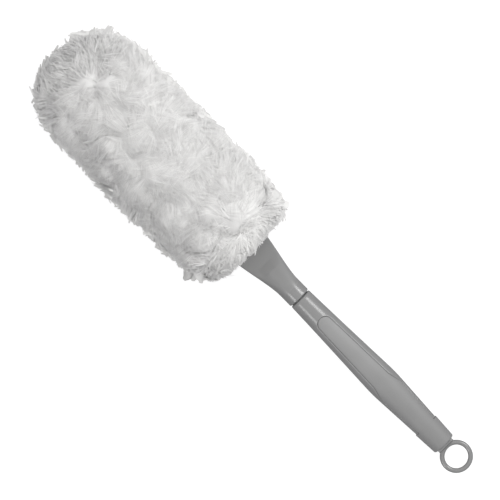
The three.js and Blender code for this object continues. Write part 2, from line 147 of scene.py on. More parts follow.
# Pile
PILE_LENGTH = 0.043
PILE_OVERHANG = 0.008
PILE_MOUTH_ROUNDING = 0.05
PILE_MOUTH_FULLNESS = 0.55
PILE_MOUTH_SLACK = 0.0065
PILE_MOUTH_SQUARENESS = 2.0
PILE_TIP_ROUNDING = 0.066
PILE_TIP_SLACK = 0.0045
PILE_TIP_SQUARENESS = 2.35
PILE_TIP_SLOPE = 0.105
PILE_ROWS = 10
PILE_HALF_WIDTH = BACKING_HALF_WIDTH + PILE_LENGTH
PILE_HALF_DEPTH = BACKING_HALF_DEPTH + PILE_LENGTH
PILE_MOUTH_AT = -MOUTH_AT + PILE_OVERHANG - PILE_MOUTH_SLACK
PILE_TIP_AT = BACKING_TIP_AT - PILE_LENGTH + PILE_TIP_SLACK
PILE_ROW_PITCH = (PILE_MOUTH_AT - BACKING_TIP_AT) / PILE_ROWS
PILE_FLOOR_GAP = 0.0004

# Clumps of the pile: spacing and height of the large and the small ones
CLUMPS = ((0.027, 0.0058), (0.0125, 0.0014))
CLUMP_LIFT = (-0.35, 0.2)
CLUMP_BULGE = (0.6, 1.3)
CLUMP_CANDIDATES = 9000
SURFACE_DEPTH = 0.0074
SIDE_LUMPS = 0.35
UNDERSIDE_SHARE = 0.45
PILE_SQUARENESS = 2.3
GRID_START = 0.3
GRID_ALONG = 330
GRID_AROUND = 400
ROOTS_STEP = 2

# Strips of the pile. Flakes are wide strips at the rim, and tabs are wider ones at the mouth's corners.
STRIPS = 60000
STRIP_SEED = 11
RING_SHARES = np.array([0.0, 0.36, 0.64, 0.86, 1.0])
STRIP_TAPER = np.array([0.7, 1, 0.95, 0.7, 0.15])
FLAKE_TAPER = np.array([0.7, 1, 1, 0.95, 0.7])
FLAKE_SHARE = 0.07
CORNER_TAB_SHARE = 0.035
STRIP_LENGTH = (0.014, 0.027)
LIP_LENGTH = (0.004, 0.009)
CORNER_TAB_LENGTH = (0.013, 0.021)
STRIP_LOG_WIDTH = (-7.85, 0.35)
STRIP_WIDTH_LIMITS = (0.00022, 0.001)
FLAKE_WIDTH = (0.0016, 0.0032)
CORNER_TAB_WIDENING = 2.8
STRIP_THICKNESS = 0.0005
FLAKE_RISE = (0.001, 0.0048)
LIP_RISE = (0.0005, 0.005)
STRIP_TWIST = 0.25
STRIP_TURN = 0.16
STRIP_TONE = 0.22
LOCK_SPACING = 0.0095
LOCK_TURN = 0.4
LOCK_GATHER = 0.55
LOCK_RISE = (0.0007, 0.0014)
LOCK_TONE = 0.16
LIE_ACROSS = 0.55
LIE_DOWN = 0.55
LIE_TO_TIP = 1.5
LIE_TO_MOUTH = 1.3
LIE_OUTWARDS = 1.5
LIE_SWIRL = 0.75
COARSE_AT_TIP = 0.6
COARSE_SHADE = 1.6
COARSE_TONE = 1.2
CASTING_SHARE = 0.3
CASTING_TILT = 0.12
OWN_SHADE = 0.15
RIM_LIGHT = 0.3
END_LIGHT = 0.4

# Looks: a grain is its scale and its depth
PLASTIC_TINT = (1.003, 1.002, 0.996)
GLOSS_GRAIN = (2600, 0.00004)
GRIP_GRAIN = (3800, 0.00008)
RING_GRAIN = (2600, 0.00001)
FIBRE_DARK = (0.62, 0.617, 0.607)
FIBRE_LIGHT = (0.82, 0.816, 0.803)

# Light, floor and backdrop
KEY_RADIANCE = 8.4
FILL_RADIANCE = 5.8
HEAD_RADIANCE = 2.1
LIGHT_TARGET = (0, 0, 0.02)
SKY_ABOVE = 0.8
SKY_LEVEL = (0.42, 0.418, 0.432)
SKY_BELOW = 0.2
FLOOR_TONE = (0.3, 0.3, 0.3)
FLOOR_GLOW = 0.85
FLOOR_REACH = 20
FLOOR_BOUNCE = (0.6, 0.596, 0.622)
FLOOR_BOUNCE_DROP = 0.0005
WALL_RADIUS = 19
WALL_ENDS = (-0.1, 14.0)

# The photograph's square frame: where its middle lies, and its width at a height over the floor
VIEW_MIDDLE = (-0.0131, -0.0015)
VIEW_WIDTH = 0.4918
VIEW_HEIGHT = 0.035
VIEW_TURN = math.radians(45.3)
LENS = 300


def clamp01(t):
    return np.clip(t, 0, 1)


def mix(a, b, t):
    return a + (b - a) * t


def smoothstep(t):
    t = clamp01(t)
    return t * t * (3 - 2 * t)


def soft_min(a, b, rounding):
    """The smaller of two values, with the corner where they cross rounded off."""
    h = np.maximum(rounding - np.abs(a - b), 0) / rounding
    return np.minimum(a, b) - h * h * rounding / 4


def soft_max(a, b, rounding):
    return -soft_min(-a, -b, rounding)


def bent(c, squareness):
    """A cosine or sine bent for a superellipse."""
    return np.sign(c) * np.abs(c) ** (2 / squareness)


def full_turn(count):
    return np.linspace(0, 2 * math.pi, count + 1)[:-1]


def section(x, half_width, half_depth, angle, squareness=2):
    """Points of a superellipse across the axis."""
    y, z = half_width * bent(np.cos(angle), squareness), half_depth * bent(np.sin(angle), squareness)
    return np.stack(np.broadcast_arrays(x, y, z), -1)


def unit(v):
    return v / np.maximum(np.linalg.norm(v, axis=-1, keepdims=True), 1e-12)


def edge_spaced(count):
    """Numbers from -1 to 1 that crowd towards both ends."""
    return np.sin(np.linspace(-math.pi / 2, math.pi / 2, count))


def duster_frame():
    """The duster's own frame at rest, from the axis that its head slides on and the handle's front rim."""
    axis = next(j for j in frame["joints"] if j["name"] == "head_release")["axis"]
    turn = Matrix.Rotation(math.atan2(axis[2], -axis[0]), 4, "Y")
    vertices = frame["nodes"]["handle_shell"].data.vertices
    points = np.array([v.co for v in vertices]) @ np.array(turn.to_3x3())
    front = points[points[:, 0] < points[:, 0].min() + RIM_ROUNDING / 2]
    middle = (front.min(0) + front.max(0)) / 2
    return Matrix.Translation(turn @ Vector((points[:, 0].min(), middle[1], middle[2]))) @ turn


PLACE = duster_frame()
LEAN = math.atan2(-PLACE[2][0], PLACE[0][0])
AXIS_HEIGHT = PLACE.translation.z


def floor_at(x):
    """Height of the floor under a place on the axis, in the duster's own frame."""
    return (x * math.sin(LEAN) - AXIS_HEIGHT) / math.cos(LEAN)


# Meshes and pieces


def mesh_of(name, points, *face_groups):
    """A smooth-shaded mesh from an array of points and arrays of faces with equal corner counts."""
    mesh = bpy.data.meshes.new(name)
    mesh.vertices.add(len(points))
    mesh.vertices.foreach_set("co", np.asarray(points, np.float32).ravel())
    corners = np.concatenate([f.ravel() for f in face_groups])
    counts = np.concatenate([np.full(len(f), f.shape[1]) for f in face_groups])
    mesh.loops.add(len(corners))
    mesh.loops.foreach_set("vertex_index", corners.astype(np.int32))
    mesh.polygons.add(len(counts))
    mesh.polygons.foreach_set("loop_start", (np.cumsum(counts) - counts).astype(np.int32))
    mesh.update(calc_edges=True)
    mesh.shade_smooth()
    return mesh


def grid_faces(rows, columns, closed=False, offset=0):
    """Quads of a grid of points, row by row. A closed grid joins its last column to its first."""
    r = np.arange(rows - 1)[:, None]
    c = np.arange(columns if closed else columns - 1)[None, :]
    after = (c + 1) % columns
    corners = [r * columns + c, r * columns + after, (r + 1) * columns + after, (r + 1) * columns + c]
    shape = rows - 1, c.shape[1]
    return np.stack([np.broadcast_to(k, shape) for k in corners], -1).reshape(-1, 4) + offset


def loft(name, rings, joined=False):
    """A closed mesh over rings of equal length. Its ends are capped, or its last ring joins its first."""
    rings = np.asarray(rings)
    if joined:
        rings = np.concatenate([rings, rings[:1]])
    mesh = mesh_of(name, rings.reshape(-1, 3), grid_faces(*rings.shape[:2], closed=True))
    return mend(mesh, caps=not joined)


def grids_mesh(name, *grids):
    """One mesh from grids of points that meet along their edges."""
    starts = np.cumsum([0] + [g.shape[0] * g.shape[1] for g in grids])
    faces = [grid_faces(*g.shape[:2], offset=start) for g, start in zip(grids, starts)]
    return mend(mesh_of(name, np.concatenate([g.reshape(-1, 3) for g in grids]), *faces))


def attribute(mesh, name, kind, domain, key, values):
    mesh.attributes.new(name, kind, domain).data.foreach_set(key, values.astype(np.float32).ravel())


def new_object(name, data):
    obj = bpy.data.objects.new(name, data)
    bpy.context.scene.collection.objects.link(obj)
    return obj


def mend(mesh, caps=False, weld=2e-6):
    """Joins points that lie together, drops what collapses, caps open ends and turns every face out."""
    bm = bmesh.new()
    bm.from_mesh(mesh)
    bmesh.ops.remove_doubles(bm, verts=bm.verts, dist=weld)
    bmesh.ops.dissolve_degenerate(bm, edges=bm.edges, dist=weld / 4)
    if caps:
        bmesh.ops.holes_fill(bm, edges=[e for e in bm.edges if e.is_boundary])
    bmesh.ops.recalc_face_normals(bm, faces=bm.faces)
    bm.to_mesh(mesh)
    bm.free()
    mesh.shade_smooth()
    return mesh


def evaluated(mesh, *modifiers):
    """The mesh with modifiers applied, each given as its type and settings."""
    maker = new_object(mesh.name, mesh)
    for kind, settings in modifiers:
        modifier = maker.modifiers.new(kind.lower(), kind)
        for key, value in settings.items():
            setattr(modifier, key, value)
    graph = bpy.context.evaluated_depsgraph_get()
    made = bpy.data.meshes.new_from_object(maker.evaluated_get(graph))
    bpy.data.objects.remove(maker)
    return made


def creased(mesh, degrees):
    mesh.shade_smooth()
    mesh.set_sharp_from_angle(angle=math.radians(degrees))
    return mesh


def piece(name, mesh, material, body, slot, *nodes):
    """A piece of the object in the duster's own frame, riding on a body in place of CAD nodes."""
    obj = new_object(name, mesh)
    obj.matrix_world = PLACE
    mesh.materials.clear()
    mesh.materials.append(material)
    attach(obj, body)
    if nodes:
        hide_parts(*nodes)
    return obj


# Materials


def material_nodes(name):
    material = bpy.data.materials.new(name)
    material.use_nodes = True
    return material, material.node_tree, material.node_tree.nodes["Principled BSDF"]


def set_inputs(tree, node, inputs):
    """Sets a node's inputs, each to a value or to another node's output."""
    for socket, value in inputs.items():
        if isinstance(value, bpy.types.NodeSocket):
            tree.links.new(value, node.inputs[socket])
        else:
            node.inputs[socket].default_value = value


def added(tree, kind, inputs):
    node = tree.nodes.new("ShaderNode" + kind)
    set_inputs(tree, node, inputs)
    return node


def own_place(tree):
    """Coordinates in the duster's own frame."""
    return added(tree, "TexCoord", {}).outputs["Object"]


def noise(tree, scale, detail):
    inputs = {"Vector": own_place(tree), "Scale": scale, "Detail": detail}
    return added(tree, "TexNoise", inputs).outputs["Fac"]


def ramp(tree, value, *stops):
    """Colours or greys along a value from 0 to 1."""
    node = added(tree, "ValToRGB", {"Fac": value})
    elements = node.color_ramp.elements
    while len(elements) < len(stops):
        elements.new(0.5)
    for element, (at, colour) in zip(elements, stops):
        element.position = at
        element.color = (*colour, 1) if hasattr(colour, "__len__") else (colour, colour, colour, 1)
    return node.outputs["Color"]


def bump(tree, height, strength, distance):
    inputs = {"Height": height, "Strength": strength, "Distance": distance}
    return added(tree, "Bump", inputs).outputs["Normal"]


def drifted(tree, value, start, end, first, last):
    """A value plus a change that drifts between two places on the duster's axis."""
    x = added(tree, "SeparateXYZ", {"Vector": own_place(tree)}).outputs["X"]
    ends = {"From Min": start, "From Max": end, "To Min": first, "To Max": last}
    along = added(tree, "MapRange", {"Value": x, **ends}).outputs["Result"]
    return added(tree, "Math", {0: value, 1: along}).outputs["Value"]


def moulded_plastic(name, grey, roughness, grain, painted_shading_drift=None, gloss_drift=None, specular=0.5):
    """Grey plastic, mottled, finely grained and unevenly glossy. Its tone may carry painted light and shade
    that drifts along it, and its gloss may drift along it.
    """
    material, tree, shader = material_nodes(name)
    mottle_and_shade = noise(tree, 35, 4)
    if painted_shading_drift:
        # painted light and shade: the tone is lightened or darkened along the duster's axis
        mottle_and_shade = drifted(tree, mottle_and_shade, *painted_shading_drift)
    dark, light = ([grey * share * c for c in PLASTIC_TINT] for share in (0.91, 1.09))
    gloss = ramp(tree, noise(tree, 140, 5), (0.3, roughness * 0.92), (0.7, roughness * 1.08))
    if gloss_drift:
        gloss = drifted(tree, gloss, *gloss_drift)
    grain_scale, grain_depth = grain
    look = {
        "Base Color": ramp(tree, mottle_and_shade, (0.05, dark), (0.95, light)),
        "Roughness": gloss,
        "Specular IOR Level": specular,
        "Normal": bump(tree, noise(tree, grain_scale, 2), 0.25, grain_depth),
    }
    set_inputs(tree, shader, look)
    return material


def woven(name, colour, threads_per_metre, depth):
    """Plain weave: two crossed sets of threads, with painted shade darkening the colour where the weave dips
    low.
    """
    material, tree, shader = material_nodes(name)
    threads = {}
    for index, direction in enumerate("XY"):
        thread = {"Scale": threads_per_metre / 20, "Distortion": 0.6, "Detail Scale": 2}
        wave = added(tree, "TexWave", {"Vector": own_place(tree), **thread})
        wave.bands_direction = direction
        threads[index] = wave.outputs["Fac"]
    over = added(tree, "Math", threads)
    over.operation = "MAXIMUM"
    height = over.outputs["Value"]
    look = {
        # painted shade: the colour is darker where the weave is low, between the threads
        "Base Color": ramp(tree, height, (0.2, [c * 0.8 for c in colour]), (0.9, colour)),
        "Normal": bump(tree, height, 0.7, depth),
        "Roughness": 0.9,
        "Sheen Weight": 0.2,
    }
    set_inputs(tree, shader, look)
    return material


def microfibre(name):
    """White split-fibre strips: each strip has its own tone, with painted shade making it a little darker
    towards its root.
    """
    material, tree, shader = material_nodes(name)
    tone = added(tree, "Attribute", {})
    tone.attribute_name = "strip_tone_and_shade"
    look = {
        "Base Color": ramp(tree, tone.outputs["Fac"], (0.0, FIBRE_DARK), (1.0, FIBRE_LIGHT)),
        "Normal": bump(tree, noise(tree, 900, 3), 0.3, 0.0003),
        "Roughness": 0.9,
        "Specular IOR Level": 0.2,
        "Sheen Weight": 0.15,
    }
    set_inputs(tree, shader, look)
    return material


# Handle


def handle_half(x, front, belly, waist, cuff_end):
    """Half size of the handle's outside: it swells to the belly, narrows to the waist and ends in a cuff."""
    rising = mix(front, belly, (np.maximum(x, 0) / BELLY_AT) ** SWELL_POWER) / 2
    falling = mix(belly, waist, (x - BELLY_AT) / (CUFF_AT - BELLY_AT)) / 2
    ahead = soft_min(rising, falling, BELLY_ROUNDING)
    cuff = mix(waist / 2 + CUFF_STEP, cuff_end / 2, (x - CUFF_AT) / CUFF_LENGTH)
    return np.where(x >= CUFF_AT, cuff, ahead)


def handle_half_width(x):
    return handle_half(x, HANDLE_FRONT_DIAMETER, BELLY_WIDTH, WAIST_WIDTH, CUFF_END_WIDTH)


def handle_half_depth(x):
    return handle_half(x, HANDLE_FRONT_DIAMETER, BELLY_DEPTH, WAIST_DEPTH, CUFF_END_DEPTH)


def panel_half(x):
    """Half width of the grip panel: a rounded front, a slow taper and an S-shaped shoulder at the belly."""
    along = clamp01((x - PANEL_START) / (BELLY_AT - PANEL_START))
    narrow = mix(PANEL_FRONT_WIDTH, PANEL_BELLY_WIDTH, along) / 2
    wide = handle_half_width(np.minimum(x, CUFF_AT - CLEARANCE)) - PANEL_EDGE_INSET
    shoulder = smoothstep((x - BELLY_AT) / SHOULDER_LENGTH + SHOULDER_LEAD_SHARE)
    nose = clamp01((x - PANEL_START) / (PANEL_FRONT_WIDTH / 2))
    return mix(narrow, wide, shoulder) * np.sqrt(1 - (1 - nose) ** 2)


def rounding_drop(distance, radius):
    """How far a rounded edge lies below the surface at a distance from its outline."""
    inside = clamp01(1 - distance / radius)
    return radius * (1 - np.sqrt(1 - inside**2))


def panel_stations():
    """Places along the panel, crowded at its nose, shoulder and end."""
    nose = PANEL_FRONT_WIDTH / 2
    front = PANEL_START + nose * (1 - np.cos(np.linspace(0, math.pi / 2, 15)))
    middle = np.linspace(PANEL_START + nose, BELLY_AT - SHOULDER_LENGTH, 16)
    shoulder = np.linspace(BELLY_AT - SHOULDER_LENGTH, BELLY_AT + SHOULDER_LENGTH, 31)
    rear = np.linspace(BELLY_AT + SHOULDER_LENGTH, CUFF_AT, 14)
    return np.unique(np.round(np.concatenate([front, middle, shoulder, rear]), 7))


def only(kind, geometry):
    return [g for g in geometry if isinstance(g, kind)]


def handle_shell_mesh():
    """The gloss shell: two sides that meet ahead of the grip, with a recess for the grip between them."""
    groove_tip = PANEL_START - PANEL_GROOVE
    rim = list(RIM_PROFILE)
    barrel = [(x, 0.0) for x in np.linspace(RIM_ROUNDING, groove_tip, 12)[1:]]
    beside = [(x - PANEL_GROOVE, 0.0) for x in panel_stations()[1:]]
    at_cuff = CUFF_AT - PANEL_GROOVE / 4
    under_cuff = [(at_cuff, 0.0), (at_cuff, GRIP_RECESS), (HANDLE_LENGTH - GRIP_RECESS, GRIP_RECESS)]
    rows = np.array(rim + barrel + beside + under_cuff)
    x, inset = rows[:, :1], rows[:, 1:]
    half_width, half_depth = handle_half_width(x), handle_half_depth(x)
    groove = PANEL_GROOVE * clamp01((x - groove_tip) / PANEL_GROOVE)
    slot_half = np.where(x > groove_tip, panel_half(x + PANEL_GROOVE) + groove, 0)
    edge = np.arccos(clamp01(slot_half / half_width))
    angle = edge * edge_spaced(41)
    distance = half_width * (edge - np.abs(angle))
    lip = np.where(x > groove_tip, rounding_drop(distance, LIP_ROUNDING), 0)
    right = section(x, half_width - inset - lip, half_depth - inset - lip, angle)
    left = right * (1, -1, 1)
    recessed = len(rim) + len(barrel) - 1
    deep = np.maximum(inset[recessed:], GRIP_RECESS)
    across = math.pi / 2 - (math.pi / 2 - edge[recessed:]) * np.array([1, 0.5, 0, -0.5, -1])
    bottom = section(x[recessed:], half_width[recessed:] - deep, half_depth[recessed:] - deep, across)
    recess = np.concatenate([right[recessed:, -1:], bottom, left[recessed:, -1:]], 1)
    mesh = grids_mesh("handle_shell_outside", right, left, recess, recess * (1, 1, -1))
    bm = bmesh.new()
    bm.from_mesh(mesh)
    ends = [e for e in bm.edges if e.is_boundary]
    rear = [e for e in ends if e.verts[0].co.x > BELLY_AT]
    bmesh.ops.holes_fill(bm, edges=rear)
    front = [e for e in ends if e.verts[0].co.x < RIM_ROUNDING]
    mouth = bmesh.ops.extrude_edge_only(bm, edges=front)["geom"]
    for v in only(BMVert, mouth):
        turn = math.atan2(v.co.z, v.co.y)
        v.co = Vector((0, SOCKET_RADIUS * math.cos(turn), SOCKET_RADIUS * math.sin(turn)))
    bore = bmesh.ops.extrude_edge_only(bm, edges=only(BMEdge, mouth))["geom"]
    for v in only(BMVert, bore):
        v.co.x = SOCKET_DEPTH
    bmesh.ops.holes_fill(bm, edges=only(BMEdge, bore))
    bmesh.ops.recalc_face_normals(bm, faces=bm.faces)
    bm.to_mesh(mesh)
    bm.free()
    return creased(mesh, 38)


def grip_level(x, half):
    """Half size of the grip's outside: flush with the shell, then rising to the cuff."""
    rise = CUFF_STEP * smoothstep((x - CUFF_AT + CUFF_RISE) / CUFF_RISE)
    return half(x) + np.where(x < CUFF_AT, rise, 0)


def soft_grip_mesh():
    """The matte grip: a panel on each face that runs into the cuff round the handle's end."""
    end = HANDLE_LENGTH - CUFF_END_ROUNDING
    quarter = np.linspace(0, math.pi / 2, 8)
    cuff_front = CUFF_AT + CUFF_FRONT_ROUNDING * np.array([0, 0.05, 0.15, 0.35, 0.6, 1])
    cuff = np.concatenate([cuff_front, np.linspace(CUFF_AT, end, 12)[1:]])
    panel_rows, cuff_rows = (np.stack([x, 0 * x], -1) for x in (panel_stations()[:-1], cuff))
    end_x, end_inset = end + CUFF_END_ROUNDING * np.sin(quarter), CUFF_END_ROUNDING * (1 - np.cos(quarter))
    end_rows = np.stack([end_x, end_inset], -1)[1:]

    def rows_of(rows):
        x, inset = rows[:, :1], rows[:, 1:]
        return x, inset, grip_level(x, handle_half_width), grip_level(x, handle_half_depth)

    def closed_end(grid, angle):
        hole = TAB_WIDTH / 2 + CLEARANCE, PLUG_DEPTH / 2 + CLEARANCE, angle[-1:], PLUG_SQUARENESS
        rims = [section(x, *hole) for x in (HANDLE_LENGTH, HANDLE_LENGTH - GRIP_THICKNESS)]
        return np.concatenate([grid, *rims])

    x, inset, half_width, half_depth = rows_of(np.concatenate([panel_rows, cuff_rows, end_rows]))
    at_cuff = panel_half(np.array(CUFF_AT))
    cuff_width = grip_level(np.array(CUFF_AT), handle_half_width)
    panel_width = np.where(x < CUFF_AT, panel_half(x), at_cuff * half_width / cuff_width)
    across = edge_spaced(49) * panel_width
    slope = np.gradient(panel_half(x[:, 0]), x[:, 0])[:, None]
    beside = (panel_width - np.abs(across)) / np.sqrt(1 + slope**2)
    past_corner = np.hypot(x - CUFF_AT, panel_width - np.abs(across))
    panel_drop = rounding_drop(beside, PANEL_EDGE_ROUNDING)
    drop = inset + np.where(x < CUFF_AT, panel_drop, rounding_drop(past_corner, CUFF_FRONT_ROUNDING))
    angle = np.arccos(np.clip(across / half_width, -1, 1))
    top = closed_end(section(x, half_width - drop, half_depth - drop, angle), angle)
    x, inset, half_width, half_depth = rows_of(np.concatenate([cuff_rows, end_rows]))
    drop = inset + rounding_drop(x - CUFF_AT, CUFF_FRONT_ROUNDING)
    angle = np.arccos(at_cuff / cuff_width) * edge_spaced(33) + 0 * x
    side = closed_end(section(x, half_width - drop, half_depth - drop, angle), angle)
    outside = grids_mesh("soft_grip_outside", top, top * (1, 1, -1), side, side * (1, -1, 1))
    solid = {"thickness": GRIP_THICKNESS - CLEARANCE, "offset": -1, "use_rim": True}
    return creased(evaluated(outside, ("SOLIDIFY", solid)), 50)


def hang_ring_mesh():
    """The ring, its flat tab and the plug that holds it in the handle's end, run together."""
    big = (RING_DIAMETER - RING_BAR) / 2
    around, about = full_turn(128)[:, None], full_turn(40)
    out = big + RING_BAR / 2 * np.cos(about)
    bar = RING_AT + out * np.cos(around), out * np.sin(around), RING_BAR / 2 * np.sin(about)
    bar = np.stack(np.broadcast_arrays(*bar), -1)
    angle = full_turn(64)
    tab_end = RING_AT - math.sqrt((RING_DIAMETER / 2) ** 2 - (TAB_WIDTH / 2) ** 2)
    stations = (
        (HANDLE_LENGTH - RING_BAR, 1.0, TAB_ROOT_THICKNESS),
        (tab_end - TAB_STEP, 1.0, TAB_ROOT_THICKNESS),
        (tab_end, 1.0, TAB_THICKNESS),
        (tab_end + RING_BAR / 8, 0.96, TAB_THICKNESS),
    )
    tab = [section(x, TAB_WIDTH / 2 * share, high / 2, angle, TAB_SQUARENESS) for x, share, high in stations]
    plug_ends = HANDLE_LENGTH - PLUG_LENGTH, HANDLE_LENGTH
    plug = [section(x, TAB_WIDTH / 2, PLUG_DEPTH / 2, angle, PLUG_SQUARENESS) for x in plug_ends]
    bm = bmesh.new()
    for part in (loft("bar", bar, joined=True), loft("tab", tab), loft("plug", plug)):
        bm.from_mesh(part)
        bpy.data.meshes.remove(part)
    joined = bpy.data.meshes.new("hang_ring_parts")
    bm.to_mesh(joined)
    bm.free()
    remesh = {"mode": "VOXEL", "voxel_size": RING_VOXEL}
    mesh = evaluated(joined, ("REMESH", remesh), ("SMOOTH", {"factor": 0.5, "iterations": 8}))
    mesh.shade_smooth()
    return mesh


# Head frame


def neck_ring(distance, inset=0.0):
    """One ring of the neck or paddle: a round neck cut to a blade by sloping flats, with a ramped ridge."""
    from_tip = PADDLE_TIP_AT - distance
    flare = clamp01((distance - NECK_STRAIGHT) / (NECK_LENGTH - NECK_STRAIGHT))
    half_width = mix(NECK_DIAMETER, PADDLE_WIDTH, (flare + smoothstep(flare)) / 2) / 2 - inset
    half_width *= math.sqrt(1 - (1 - min(from_tip / (PADDLE_WIDTH / 2), 1)) ** 2)
    blade = PADDLE_THICKNESS / 2 * math.sqrt(1 - (1 - min(from_tip / PADDLE_THICKNESS, 1)) ** 2)
    radius = NECK_DIAMETER / 2
    level = soft_max(radius + NECK_EDGE - NECK_TAPER * (distance - NECK_TAPER_AT), blade, NECK_FILLET)
    ridge = radius + NECK_EDGE - RIDGE_TAPER * (min(distance, RIDGE_TOP_END) - NECK_TAPER_AT)
    ridge = mix(ridge, blade, clamp01((distance - RIDGE_TOP_END) / (RIDGE_END - RIDGE_TOP_END)))
    y = half_width * edge_spaced(57)
    foot = smoothstep((RIDGE_FOOT - np.abs(y)) / (RIDGE_FOOT - RIDGE_TOP))
    level = level + max(ridge - level, 0) * foot
    across = np.abs(y) / max(half_width, 1e-9)
    body = (radius - inset) * np.sqrt(np.maximum(1 - across**2, 0))
    height = np.maximum(soft_min(body, level, NECK_EDGE), 0)
    top = np.stack([np.full_like(y, -distance), y, height], -1)
    bottom = top[::-1] * (1, 1, -1)
    return np.concatenate([top, bottom[1:-1]])


def disc_ring(x, radius):
    y = radius * edge_spaced(57)
    top = np.stack([np.full_like(y, x), y, np.sqrt(np.maximum(radius**2 - y**2, 0))], -1)
    return np.concatenate([top, (top[::-1] * (1, 1, -1))[1:-1]])


def head_frame_mesh():
    """Spigot, neck and paddle in one piece."""
    radius = SPIGOT_DIAMETER / 2
    rings = []
    for turn in np.linspace(0, math.pi / 2, 6):
        inset = RIM_ROUNDING * (1 - math.sin(turn))
        rings.append(disc_ring(SPIGOT_LENGTH - RIM_ROUNDING * (1 - math.cos(turn)), radius - inset))
    rings += [disc_ring(x, radius) for x in np.linspace(SPIGOT_LENGTH - RIM_ROUNDING, -CLEARANCE, 8)[1:]]
    rings += [neck_ring(CLEARANCE + x, inset) for x, inset in RIM_PROFILE]
    stops = CLEARANCE + RIM_ROUNDING, RIDGE_TOP_END, RIDGE_END, NECK_LENGTH, PADDLE_TIP_AT - PADDLE_WIDTH / 2
    runs = [np.linspace(a, b, count)[1:] for a, b, count in zip(stops, stops[1:], (44, 30, 16, 24))]
    tip = PADDLE_TIP_AT - PADDLE_WIDTH / 2 * (1 - np.sin(np.linspace(0, math.pi / 2, 26)[1:-1]))
    rings += [neck_ring(d) for d in np.concatenate([*runs, tip])]
    return creased(loft("head_frame_body", rings), 40)


# Sleeve


def pocket_ring(x, half_width, half_depth, sides=128):
    return section(x, half_width, half_depth, full_turn(sides), POCKET_SQUARENESS)


def sleeve_backing_mesh():
    """The woven pocket that slips over the paddle: closed at the tip, open at the mouth."""
    rings = []
    corner = PADDLE_WIDTH / 2
    straight = np.linspace(-MOUTH_AT, -PADDLE_TIP_AT + corner, 30)
    for grown, outside in ((CLEARANCE + BACKING_THICKNESS, True), (CLEARANCE, False)):
        wall = [pocket_ring(x, corner + grown, PADDLE_THICKNESS / 2 + grown) for x in straight]
        for turn in np.linspace(0, math.pi / 2, 20)[1:]:
            x = -PADDLE_TIP_AT + corner - (corner + grown) * math.sin(turn)
            half_width = (corner + grown) * math.cos(turn) + grown / 4
            wall.append(pocket_ring(x, half_width, PADDLE_THICKNESS / 2 + grown))
        rings += wall if outside else wall[::-1]
    return loft("sleeve_backing_cloth", rings, joined=True)


def mouth_elastic_mesh():
    """The gathered elastic round the pocket's mouth."""
    sides = ELASTIC_GATHERS * 6
    gather = ELASTIC_GATHER_DEPTH * np.cos(ELASTIC_GATHERS * full_turn(sides))
    rings = []
    for turn in full_turn(28):
        x = -MOUTH_AT - ELASTIC_WIDTH / 2 + ELASTIC_WIDTH / 2 * bent(math.cos(turn), 6)
        grown = CLEARANCE + ELASTIC_THICKNESS / 2 * (1 + bent(math.sin(turn), 4))
        waves = gather * max(math.sin(turn), 0) ** 0.5
        ring = pocket_ring(x, BACKING_HALF_WIDTH + grown, BACKING_HALF_DEPTH + grown, sides)
        out = unit(ring * (0, 1, 1))
        rings.append(ring + out * waves[:, None])
    return loft("mouth_elastic_band", rings, joined=True)


# Pile


def rounded(t, squareness):
    return (1 - (1 - clamp01(t)) ** squareness) ** (1 / squareness)


def pile_profile():
    """Rows of x, half width and half depth, from the pile's tip to its mouth and in round the lip."""
    x = PILE_TIP_AT + (PILE_MOUTH_AT - PILE_TIP_AT) * (1 - np.cos(np.linspace(0, math.pi, 161))) / 2
    mouth = rounded((PILE_MOUTH_AT - x) / PILE_MOUTH_ROUNDING, PILE_MOUTH_SQUARENESS)
    mouth = mix(PILE_MOUTH_FULLNESS, 1, mouth)
    tip = rounded((x - PILE_TIP_AT) / PILE_TIP_ROUNDING, PILE_TIP_SQUARENESS)
    slope = rounded((x - PILE_TIP_AT) / PILE_TIP_SLOPE, PILE_TIP_SQUARENESS)
    half_width = PILE_HALF_WIDTH * np.minimum(mouth, tip)
    half_depth = PILE_HALF_DEPTH * np.minimum(mouth, slope)
    outside = np.stack([x, half_width, half_depth], -1)
    inner_width = BACKING_HALF_WIDTH + ELASTIC_THICKNESS + 2 * CLEARANCE
    inner_depth = BACKING_HALF_DEPTH + ELASTIC_THICKNESS + 2 * CLEARANCE
    lip_end = np.array([PILE_MOUTH_AT - PILE_OVERHANG / 2, inner_width, inner_depth])
    lip = [mix(outside[-1], lip_end, t) for t in np.linspace(0, 1, 13)[1:]]
    return np.concatenate([outside, lip])


PROFILE = pile_profile()


def envelope(along, angle):
    """Points of the pile's outside, pressed flat on the floor."""
    x, half_width, half_depth = (np.interp(along, np.arange(len(PROFILE)), PROFILE[:, k]) for k in range(3))
    points = section(x, half_width, half_depth, angle, PILE_SQUARENESS)
    points[..., 2] = np.maximum(points[..., 2], floor_at(points[..., 0]) + PILE_FLOOR_GAP)
    return points


def envelope_normal(along, angle):
    step = 1e-3
    about = envelope(along, angle + step) - envelope(along, angle - step)
    length = envelope(along + 0.4, angle) - envelope(along - 0.4, angle)
    return unit(np.cross(about, length) + (-1e-12, 0, 0))


def spread(count, rng):
    """Places spread evenly by area over the pile's outside, fewer underneath."""
    along = np.linspace(0.05, len(PROFILE) - 1, 420)
    angle = np.linspace(0, 2 * math.pi, 241)
    grid = envelope(along[:, None], angle)
    down, across = grid[1:, :-1] - grid[:-1, :-1], grid[:-1, 1:] - grid[:-1, :-1]
    area = np.linalg.norm(np.cross(down, across), axis=-1)
    middle_angle = (angle[:-1] + angle[1:]) / 2
    underneath = clamp01((-np.sin(middle_angle) - 0.55) * 5)
    area = area * mix(1, UNDERSIDE_SHARE, underneath)
    edges = np.cumsum(area.ravel())
    wanted = (np.arange(count) + rng.random(count)) / count * edges[-1]
    cell = np.searchsorted(edges, wanted)
    row, column = np.divmod(np.minimum(cell, area.size - 1), area.shape[1])
    along_at = along[row] + rng.random(count) * (along[row + 1] - along[row])
    return along_at, angle[column] + rng.random(count) * (angle[1] - angle[0])


